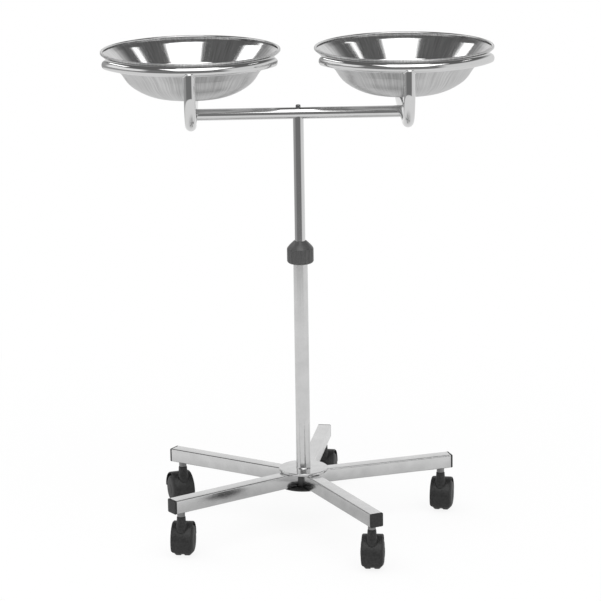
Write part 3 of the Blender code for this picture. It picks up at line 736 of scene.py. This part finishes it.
class BASINSTAND_OT_mast(bpy.types.Operator):
    """Draw the sliding mast and the outer column it runs in"""

    bl_idname = "basin_stand.mast"
    bl_label = "Mast and column"

    def execute(self, context):
        colours = context.scene.basin_stand.colours
        low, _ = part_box("mast_tube")
        bar = middle("crossbar").z
        rings = [ring_at(Vector((0, 0, z)), UP, ACROSS, MAST_RADIUS) for z in (low.z, bar)]
        for point in rings[1]:
            point.z = bar - math.sqrt((BAR_RADIUS + FIT) ** 2 - point.y ** 2)
        settle("mast_outer", skin(rings), "mast", ["mast_tube"], [chrome_tube(colours)])

        low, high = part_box("outer_column")
        bore = COLUMN_RADIUS - TUBE_WALL
        walls = [(bore, low.z), (bore, high.z), (COLUMN_RADIUS, high.z), (COLUMN_RADIUS, low.z)]
        settle("column_tube", lathe(walls, TURNED_STEPS), "base", ["outer_column"],
               [drawn_chrome(colours, "Z")])
        return {"FINISHED"}


class BASINSTAND_OT_collar(bpy.types.Operator):
    """Mould the ribbed collar that tightens the mast"""

    bl_idname = "basin_stand.collar"
    bl_label = "Collar"

    def execute(self, context):
        stand = context.scene.basin_stand
        low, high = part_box("clamp_collar")
        hole = MAST_RADIUS + FIT
        shoulder = high.z - COLLAR_CONE
        spread = COLLAR_RADIUS - COLLAR_LIP
        cone = [(COLLAR_LIP + spread * out, shoulder + COLLAR_CONE * rise) for out, rise in CONE_BENDS]
        outside = eased([
            (hole, high.z), (COLLAR_LIP, high.z), *cone, (COLLAR_RADIUS, shoulder),
            (COLLAR_RADIUS, low.z + COLLAR_FOOT), (COLLAR_RADIUS - COLLAR_FOOT, low.z),
            (COLLAR_BORE, low.z)], MOULD_EDGE)
        inside = [Vector((radius, low.z + COLLAR_BORE_DEPTH)) for radius in (COLLAR_BORE, hole)]
        work = lathe(outside + inside, stand.shapes.rib_count * RIB_STEPS)
        for vert in work.verts:
            on_grip = low.z + COLLAR_FOOT * RIB_START < vert.co.z < shoulder + FIT
            if on_grip and math.hypot(vert.co.x, vert.co.y) > COLLAR_RADIUS - RIB_BAND:
                turn = math.atan2(vert.co.y, vert.co.x) * stand.shapes.rib_count
                groove = max(0.0, -math.cos(turn)) ** RIB_POWER
                shrink = 1 - stand.shapes.rib_depth * groove / COLLAR_RADIUS
                vert.co.x *= shrink
                vert.co.y *= shrink
        settle("collar_grip", work, "collar", ["clamp_collar"],
               [moulded_nylon("moulded_collar_nylon", stand.colours.collar, 0.7, (0.28, 0.42))], sharp=30)
        return {"FINISHED"}


# Base.

def washer(node, hole, edge):
    """A flat ring with eased edges, as wide and as thick as a CAD node."""
    low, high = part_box(node)
    corners = [(hole, high.z), (high.x, high.z), (high.x, low.z), (hole, low.z)]
    return lathe(eased(corners, edge), TURNED_STEPS)


class BASINSTAND_OT_hub(bpy.types.Operator):
    """Turn the hub's plate, core and lower cap, with the weld round the column's foot"""

    bl_idname = "basin_stand.hub"
    bl_label = "Hub"

    def execute(self, context):
        stand = context.scene.basin_stand
        nylon = moulded_nylon("moulded_black_nylon", stand.colours.nylon)
        steel = drawn_chrome(stand.colours, "X")
        hole = COLUMN_RADIUS + FIT
        settle("hub_plate", washer("hub_top_plate", hole, stand.shapes.plate_edge), "base",
               ["hub_top_plate"], [steel])

        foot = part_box("hub_top_plate")[1].z
        bead = stand.shapes.weld_reach
        hollow = bead * WELD_HOLLOW
        fillet = [(hole - FIT, foot + bead), (hole + hollow, foot + hollow), (hole + bead, foot),
                  (hole - FIT, foot)]
        settle("column_weld", lathe(fillet, TURNED_STEPS), "base", [], [steel])

        # The hub ring between the legs is coloured dark with painted shade.
        settle("hub_ring", washer("hub_core", hole, FINE_EDGE), "base", ["hub_core"],
               [recess_shaded_chrome(stand.colours)])

        low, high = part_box("base_cap")
        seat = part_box("hub_core")[0].z - FIT
        plug = UNDER_CAP_PLUG
        rim = high.x
        cap = eased([
            (0, high.z), (plug, high.z), (plug, seat), (rim, seat), (rim, low.z), (0, low.z)], CAP_EDGE)
        settle("hub_under_cap", lathe(cap, TURNED_STEPS), "base", ["base_cap"], [nylon])
        return {"FINISHED"}


def square_ring(half, corner, steps=6):
    """(y, z) outline of a square with rounded corners."""
    points = []
    centre = Vector((half - corner, half - corner))
    for quarter in range(4):
        turn = QUARTER * quarter
        for step in range(steps + 1):
            angle = QUARTER * step / steps
            spot = centre + corner * Vector((math.cos(angle), math.sin(angle)))
            points.append(Vector((spot.x * math.cos(turn) - spot.y * math.sin(turn),
                                  spot.x * math.sin(turn) + spot.y * math.cos(turn))))
    return points


def squared(outline, reach):
    """A (y, z) outline across a leg, at a distance from the hub's axis."""
    return [Vector((reach, point.x, point.y)) for point in outline]


def coped(outline):
    """A (y, z) outline across a leg, shaped to the round hub."""
    cope = HUB_RADIUS + FIT
    return [Vector((math.sqrt(cope ** 2 - point.x ** 2), point.x, point.y)) for point in outline]


class BASINSTAND_OT_legs(bpy.types.Operator):
    """Draw the five square legs, coped to the hub, and press in their end caps"""

    bl_idname = "basin_stand.legs"
    bl_label = "Legs"

    def execute(self, context):
        stand = context.scene.basin_stand
        half = LEG_SIDE / 2
        corner = stand.shapes.leg_corner
        steel = drawn_chrome(stand.colours, "X")
        nylon = moulded_nylon("moulded_black_nylon", stand.colours.nylon)
        outer = square_ring(half, corner)
        inner = square_ring(half - TUBE_WALL, max(corner - TUBE_WALL, LEAST_CORNER))
        insert = square_ring(half - TUBE_WALL - FIT, FINE_EDGE)
        for leg in LEGS:
            stem = middle(f"caster_stem_{leg}")
            inset = math.hypot(stem.x, stem.y)
            back = inset + LEG_OVERHANG - LEG_CAP_THICKNESS
            heading = Matrix.Rotation(math.atan2(stem.y, stem.x), 4, "Z")
            place = Matrix.Translation((0, 0, middle(f"leg_{leg}").z)) @ heading
            rings = [coped(outer), squared(outer, back - FIT), squared(inner, back - FIT), coped(inner)]
            tube = scratch(skin(rings, closed=True))
            carve(tube, rod(SOCKET_RADIUS + FIT, -LEG_SIDE, 0, TUBE_STEPS, Matrix.Translation((inset, 0, 0))))
            settle(f"leg_tube_{leg}", taken(tube), "base", [f"leg_{leg}"], [steel],
                   place, 30)

            rings = [squared(insert, back - LEG_CAP_INSERT), squared(insert, back), squared(outer, back)]
            for left, share in LEG_CAP_RIM:
                inward = share * CAP_EDGE
                outline = square_ring(half - inward, max(corner - inward, LEAST_CORNER))
                rings.append(squared(outline, back + (LEG_CAP_THICKNESS - CAP_EDGE * left)))
            settle(f"leg_end_{leg}", skin(rings), "base", [f"leg_cap_{leg}"], [nylon],
                   place, 40)
        return {"FINISHED"}


# Casters.

def hood_outline(steps=44):
    """Side outline of a housing about its axle."""
    first, last = HOOD_LIPS
    turns = [first + (last - first) * step / steps for step in range(steps + 1)]
    outline = [(HOOD_RADIUS * math.cos(turn), HOOD_RADIUS * math.sin(turn)) for turn in turns]
    rest = math.tau - (last - first)
    for share in HEEL_CORNERS:
        turn = last + rest * share
        outline.append((HEEL_RADIUS * math.cos(turn), HEEL_RADIUS * math.sin(turn)))
    return outline


def lip_cutter(half, lip, sign, steps=10):
    """A block along X that rounds one corner of a hood's lip; lip is the point in the middle of its edge."""
    reach = 1.5 * HOOD_CORNER
    turns = [QUARTER * step / steps for step in range(steps + 1)]
    outline = [(half - HOOD_CORNER * (1 - math.cos(turn)), HOOD_CORNER * (1 - math.sin(turn)))
               for turn in turns]
    outline += [(half - HOOD_CORNER, -HOOD_CORNER), (half + HOOD_CORNER, -HOOD_CORNER),
                (half + HOOD_CORNER, HOOD_CORNER)]
    block = [(lip[0] - reach, sign * y, lip[1] + z) for y, z in outline]
    return scratch(prism(block, (2 * reach, 0, 0)))


def housing_mesh():
    """Caster housing about its swivel axis: hood over both wheels, web between them, boss round the stem."""
    width = WEB_WIDTH + 2 * (WHEEL_SIDE_GAP + WHEEL_WIDTH)
    side = [(TRAIL + x, -width / 2, WHEEL_RADIUS + z) for x, z in hood_outline()]
    work = prism(side, (0, width, 0))

    def on_hood(vert):
        return math.hypot(vert.co.x - TRAIL, vert.co.z - WHEEL_RADIUS) > HOOD_RADIUS - HOOD_WALL

    rim = [edge for edge in work.edges if all(on_hood(vert) for vert in edge.verts)
           and abs(edge.verts[0].co.y - edge.verts[1].co.y) < HOOD_WALL]
    bmesh.ops.bevel(work, geom=rim, offset=HOOD_EDGE, segments=4, profile=0.5, affect="EDGES")
    housing = scratch(work)
    boss_side = lifted(BOSS_SIDE, WHEEL_RADIUS + HOOD_RADIUS)
    boss = eased([(0, BOSS_TOP), (BOSS_NECK, BOSS_TOP), *boss_side], BOSS_EDGE)
    carve(housing, scratch(lathe(boss, TUBE_STEPS)), "UNION")
    axle = Matrix.Translation((TRAIL, 0, WHEEL_RADIUS))
    for sign in (-1, 1):
        pocket = axle @ Matrix.Rotation(-sign * QUARTER, 4, "X")
        carve(housing, rod(HOOD_RADIUS - HOOD_WALL, WEB_WIDTH / 2, width, TURNED_STEPS, pocket))
        for turn in HOOD_LIPS:
            lip = (TRAIL + HOOD_RADIUS * math.cos(turn), WHEEL_RADIUS + HOOD_RADIUS * math.sin(turn))
            carve(housing, lip_cutter(width / 2, lip, sign))
    through = axle @ Matrix.Rotation(QUARTER, 4, "X")
    carve(housing, rod(AXLE_RADIUS + FIT, -width, width, TUBE_STEPS, through))
    carve(housing, rod(STEM_RADIUS + FIT, STEM_FOOT - FIT, STEM_SEAT))
    return taken(housing)


def wheel_work(shoulder):
    """One wheel about Z from its flat inner face up: tread, rounded shoulder, dished side with a hub boss."""
    bore = AXLE_RADIUS + FIT
    profile = eased([
        *lifted(WHEEL_FACE, WHEEL_WIDTH + WHEEL_DOME), (WHEEL_RADIUS - shoulder, WHEEL_WIDTH),
        (WHEEL_RADIUS, WHEEL_WIDTH - shoulder), (WHEEL_RADIUS, FINE_EDGE), (WHEEL_RADIUS - FINE_EDGE, 0),
        (bore, 0), (bore, AXLE_SEAT), (0, AXLE_SEAT)], MOULD_EDGE)
    return lathe(profile, TURNED_STEPS)


class BASINSTAND_OT_casters(bpy.types.Operator):
    """Mould the five twin-wheel casters and turn their stems"""

    bl_idname = "basin_stand.casters"
    bl_label = "Casters"

    def execute(self, context):
        stand = context.scene.basin_stand
        nylon = moulded_nylon("moulded_black_nylon", stand.colours.nylon)
        tread = moulded_nylon("moulded_wheel_tread", stand.colours.tread)
        zinc = zinc_plate(stand.colours)
        housing = housing_mesh()
        for leg in LEGS:
            stem = middle(f"caster_stem_{leg}")
            axle = middle(f"caster_axle_{leg}")
            heading = math.atan2(axle.y - stem.y, axle.x - stem.x)
            place = Matrix.Translation((stem.x, stem.y, 0))
            swivel = place @ Matrix.Rotation(heading, 4, "Z")
            settle(f"caster_hood_{leg}", housing.copy(), f"caster_{leg}",
                   [f"caster_housing_{leg}"], [nylon], swivel, 40)
            low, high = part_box(f"caster_stem_{leg}")
            seat = STEM_SEAT - FIT
            pin = eased([
                (0, high.z), (STEM_TOP, high.z), (STEM_TOP, seat), (STEM_COLLAR, seat),
                (STEM_COLLAR, STEM_SHOULDER), (STEM_RADIUS, STEM_SHOULDER), (STEM_RADIUS, low.z),
                (0, low.z)], FINE_EDGE)
            settle(f"caster_pin_{leg}", lathe(pin, TUBE_STEPS), "base",
                   [f"caster_stem_{leg}"], [zinc], place)
            for side, sign in SIDES.items():
                out = Matrix.Translation((TRAIL, sign * (WEB_WIDTH / 2 + WHEEL_SIDE_GAP), WHEEL_RADIUS))
                upright = out @ Matrix.Rotation(-sign * QUARTER, 4, "X")
                settle(f"wheel_{side}_{leg}_tread", wheel_work(stand.shapes.tread_edge),
                       f"wheel_{side}_{leg}", [f"caster_wheel_{side}_{leg}"], [tread],
                       swivel @ upright)
        return {"FINISHED"}


class BASINSTAND_OT_fittings(bpy.types.Operator):
    """Give the fittings that stay as the CAD has them their finishes"""

    bl_idname = "basin_stand.fittings"
    bl_label = "Inner fittings"

    def execute(self, context):
        colours = context.scene.basin_stand.colours
        natural = moulded_nylon("natural_nylon", colours.natural, 0.93)
        zinc = zinc_plate(colours)
        finishes = {"clamp_collet": natural, "mast_guide": natural, "mast_plug": zinc}
        for leg in LEGS:
            finishes[f"caster_socket_{leg}"] = zinc
            finishes[f"caster_axle_{leg}"] = zinc
        for node, material in finishes.items():
            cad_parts[node].material_slots[0].material = material
        return {"FINISHED"}


# Stage.

# Flat panels that face down: middle, size and level.
PANELS = {
    "middle": ((0.59, -1.44, 9.0), (4.40, 2.20), 2.0),
    "front": ((1.20, -8.20, 9.0), (11.30, 11.00), 2.0),
    "right": ((6.50, 3.10, 9.0), (0.78, 2.80), 2.0),
    "left": ((-8.30, 5.80, 9.0), (2.80, 7.50), 2.0),
}

# What polished metal mirrors: level by compass angle, in turns from straight behind the stand, by its left
# side, its front and its right side. The floor has its own levels beyond the white sheet.
WALL_LEVELS = {0.0: 0.88, 0.05: 0.86, 0.09: 0.42, 0.17: 0.42, 0.19: 1.0, 0.33: 1.0, 0.36: 0.22, 0.60: 0.22,
               0.635: 0.78, 0.93: 0.88}
FLOOR_LEVELS = {0.0: 0.88, 0.05: 0.86, 0.09: 0.42, 0.30: 0.36, 0.33: 0.20, 0.60: 0.20, 0.635: 0.78,
                0.93: 0.88}
# Level overhead, and how steep a way up is where the ceiling begins and where it is all that is seen.
CEILING_LEVEL = 0.14
CEILING_EDGE = (0.38, 0.62)
# The even light is stronger from the left: shares at the left and at the right.
SOFT_SHARES = (1.45, 0.55)

FLOOR_EDGE = 24
WHITE_SHEET = (2.0, 2.3)
# The sheet's glow, as metal mirrors it, carries a painted shadow under the stand: level there, level clear of
# it, and the two distances.
SHEET_SHADOW_LEVELS = (0.46, 0.78)
SHEET_SHADE = (0.20, 0.55)
# The camera sees plain white with part of the shadow: share of white near the stand and clear of it.
WHITE_SHARES = (0.88, 1.0)
WHITE_SPAN = (0.6, 1.4)
# Share of the set levels in what metal mirrors, on the sheet and off it; the rest is the lit floor.
STEADY_SHARES = (0.8, 1.0)


def room_level(tree, way, levels):
    """Brightness of the room in a direction, by its compass angle."""
    parts = add(tree, "ShaderNodeSeparateXYZ", links={0: way}).outputs
    front = add(tree, "ShaderNodeMath", {"operation": "MULTIPLY"}, {1: -1.0}, {0: parts["Y"]})
    angle = add(tree, "ShaderNodeMath", {"operation": "ARCTAN2"}, links={0: parts["X"], 1: front.outputs[0]})
    share = add(tree, "ShaderNodeMapRange", values=mapped((-math.pi, math.pi)), links={0: angle.outputs[0]})
    ramp = add(tree, "ShaderNodeValToRGB", links={0: share.outputs[0]})
    stops = ramp.color_ramp.elements
    stops[1].color = (levels[0.0], levels[0.0], levels[0.0], 1)
    for spot, level in levels.items():
        stop = stops.new(spot) if spot else stops[0]
        stop.color = (level, level, level, 1)
    return ramp.outputs[0]


class BASINSTAND_OT_stage(bpy.types.Operator):
    """Lay the pale floor, hang the soft panels and set the camera"""

    bl_idname = "basin_stand.stage"
    bl_label = "Stage"

    def execute(self, context):
        stand = context.scene.basin_stand
        self.lay_floor(stand.colours.floor)
        self.light(context.scene, stand.studio)
        self.set_camera(context.scene, stand.studio)
        context.scene.view_settings.view_transform = "Standard"
        return {"FINISHED"}

    def lay_floor(self, colour):
        """Painted studio floor: matt white that shows as plain white but keeps part of the shadow."""
        work = bmesh.new()
        bmesh.ops.create_circle(work, cap_ends=True, radius=FLOOR_EDGE, segments=96)
        mesh = bpy.data.meshes.new("studio_floor")
        work.to_mesh(mesh)
        work.free()
        floor = placed("studio_floor", mesh)
        material = bpy.data.materials.new("matt_white_floor")
        material.use_nodes = True
        tree = material.node_tree
        shader = tree.nodes["Principled BSDF"]
        shader.inputs["Base Color"].default_value = (*colour, 1)
        shader.inputs["Roughness"].default_value = 0.9
        shader.inputs["Specular IOR Level"].default_value = 0.0
        place = add(tree, "ShaderNodeTexCoord").outputs["Object"]
        away = add(tree, "ShaderNodeVectorMath", {"operation": "LENGTH"}, links={0: place}).outputs["Value"]
        far = add(tree, "ShaderNodeMapRange", {"interpolation_type": "SMOOTHSTEP"}, mapped(WHITE_SHEET),
                  {0: away})
        # Painted shadow under the stand, in the glow of the sheet that metal mirrors.
        sheet = add(tree, "ShaderNodeMapRange", values=mapped(SHEET_SHADE, SHEET_SHADOW_LEVELS), links={0: away})
        mirrored = add(tree, "ShaderNodeMix", RGBA, links={
            0: far.outputs[0], 6: sheet.outputs[0], 7: room_level(tree, place, FLOOR_LEVELS)})
        ray = add(tree, "ShaderNodeLightPath").outputs
        shown = add(tree, "ShaderNodeMix", RGBA, {7: (1, 1, 1, 1)},
                    {0: ray["Is Camera Ray"], 6: mirrored.outputs[2]})
        glow = add(tree, "ShaderNodeEmission", values={"Strength": 1.0}, links={"Color": shown.outputs[2]})
        clear = add(tree, "ShaderNodeMapRange", values=mapped(WHITE_SPAN, WHITE_SHARES), links={0: away})
        straight = add(tree, "ShaderNodeMath", {"operation": "MULTIPLY"},
                       links={0: ray["Is Camera Ray"], 1: clear.outputs[0]})
        steady = add(tree, "ShaderNodeMapRange", values=mapped(WHITE_SHEET, STEADY_SHARES), links={0: away})
        glossy = add(tree, "ShaderNodeMath", {"operation": "MULTIPLY"},
                     links={0: ray["Is Glossy Ray"], 1: steady.outputs[0]})
        share = add(tree, "ShaderNodeMath", {"operation": "MAXIMUM"},
                    links={0: straight.outputs[0], 1: glossy.outputs[0]})
        mix = add(tree, "ShaderNodeMixShader",
                  links={0: share.outputs[0], 1: shader.outputs[0], 2: glow.outputs[0]})
        tree.links.new(mix.outputs[0], tree.nodes["Material Output"].inputs["Surface"])
        mesh.materials.append(material)

    def light(self, scene, studio):
        """Four soft panels over the stand, a white room behind it and a dim one behind the camera."""
        for name, (spot, size, level) in PANELS.items():
            lamp = bpy.data.lights.new(f"panel_{name}", "AREA")
            lamp.shape = "RECTANGLE"
            lamp.size, lamp.size_y = size
            lamp.energy = level * studio.lamp_level * math.pi * size[0] * size[1]
            panel = placed(f"panel_{name}", lamp)
            panel.location = spot
            panel.visible_camera = False
        world = bpy.data.worlds.new("studio_room")
        scene.world = world
        world.use_nodes = True
        tree = world.node_tree
        ray = add(tree, "ShaderNodeLightPath").outputs
        way = add(tree, "ShaderNodeTexCoord").outputs["Generated"]
        parts = add(tree, "ShaderNodeSeparateXYZ", links={0: way}).outputs
        overhead = add(tree, "ShaderNodeMapRange", {"interpolation_type": "SMOOTHSTEP"},
                       mapped(CEILING_EDGE), {0: parts["Z"]})
        ceiling = (CEILING_LEVEL, CEILING_LEVEL, CEILING_LEVEL, 1)
        room = add(tree, "ShaderNodeMix", RGBA, {7: ceiling},
                   {0: overhead.outputs[0], 6: room_level(tree, way, WALL_LEVELS)})
        levels = [studio.soft_level * share for share in SOFT_SHARES]
        soft = add(tree, "ShaderNodeMapRange", values=mapped((-1.0, 1.0), levels), links={0: parts["X"]})
        even = add(tree, "ShaderNodeMix", RGBA, links={
            0: ray["Is Glossy Ray"], 6: soft.outputs[0], 7: room.outputs[2]})
        seen = add(tree, "ShaderNodeMix", RGBA, {7: (1, 1, 1, 1)},
                   {0: ray["Is Camera Ray"], 6: even.outputs[2]})
        tree.links.new(seen.outputs[2], tree.nodes["Background"].inputs["Color"])

    def set_camera(self, scene, studio):
        """A long lens at the height of a standing viewer."""
        data = bpy.data.cameras.new("camera")
        data.sensor_width = 36
        data.lens = studio.lens
        data.clip_end = 100
        camera = placed("camera", data)
        spot = Vector(studio.camera_spot)
        level = (Vector(studio.camera_aim) - spot).to_track_quat("-Z", "Y")
        camera.location = spot
        camera.rotation_mode = "QUATERNION"
        camera.rotation_quaternion = level @ Quaternion((0, 0, 1), studio.camera_roll)
        scene.camera = camera


class BASINSTAND_PT_sidebar(bpy.types.Panel):
    """Settings and steps of the stand."""

    bl_idname = "BASINSTAND_PT_sidebar"
    bl_label = "Basin stand"
    bl_space_type = "VIEW_3D"
    bl_region_type = "UI"
    bl_category = "Basin stand"

    def draw(self, context):
        stand = context.scene.basin_stand
        for group in (stand.shapes, stand.colours, stand.studio):
            box = self.layout.box()
            for name in group.__annotations__:
                box.prop(group, name)
        for step in STEPS:
            self.layout.operator(step.bl_idname)


STEPS = (
    BASINSTAND_OT_stage,
    BASINSTAND_OT_bowls,
    BASINSTAND_OT_carriers,
    BASINSTAND_OT_crossbar,
    BASINSTAND_OT_mast,
    BASINSTAND_OT_collar,
    BASINSTAND_OT_hub,
    BASINSTAND_OT_legs,
    BASINSTAND_OT_casters,
    BASINSTAND_OT_fittings,
)
CLASSES = (BasinStandShapes, BasinStandColours, BasinStandStudio, BasinStandSettings, *STEPS,
           BASINSTAND_PT_sidebar)


def register():
    """Make the settings, steps and panel known."""
    for each in CLASSES:
        bpy.utils.register_class(each)
    bpy.types.Scene.basin_stand = bpy.props.PointerProperty(type=BasinStandSettings)


def unregister():
    """Take them out again."""
    del bpy.types.Scene.basin_stand
    for each in reversed(CLASSES):
        bpy.utils.unregister_class(each)


def main():
    """Dress the stand step by step."""
    register()
    bpy.ops.basin_stand.stage()
    bpy.ops.basin_stand.bowls()
    bpy.ops.basin_stand.carriers()
    bpy.ops.basin_stand.crossbar()
    bpy.ops.basin_stand.mast()
    bpy.ops.basin_stand.collar()
    bpy.ops.basin_stand.hub()
    bpy.ops.basin_stand.legs()
    bpy.ops.basin_stand.casters()
    bpy.ops.basin_stand.fittings()


if __name__ == "__main__":
    main()
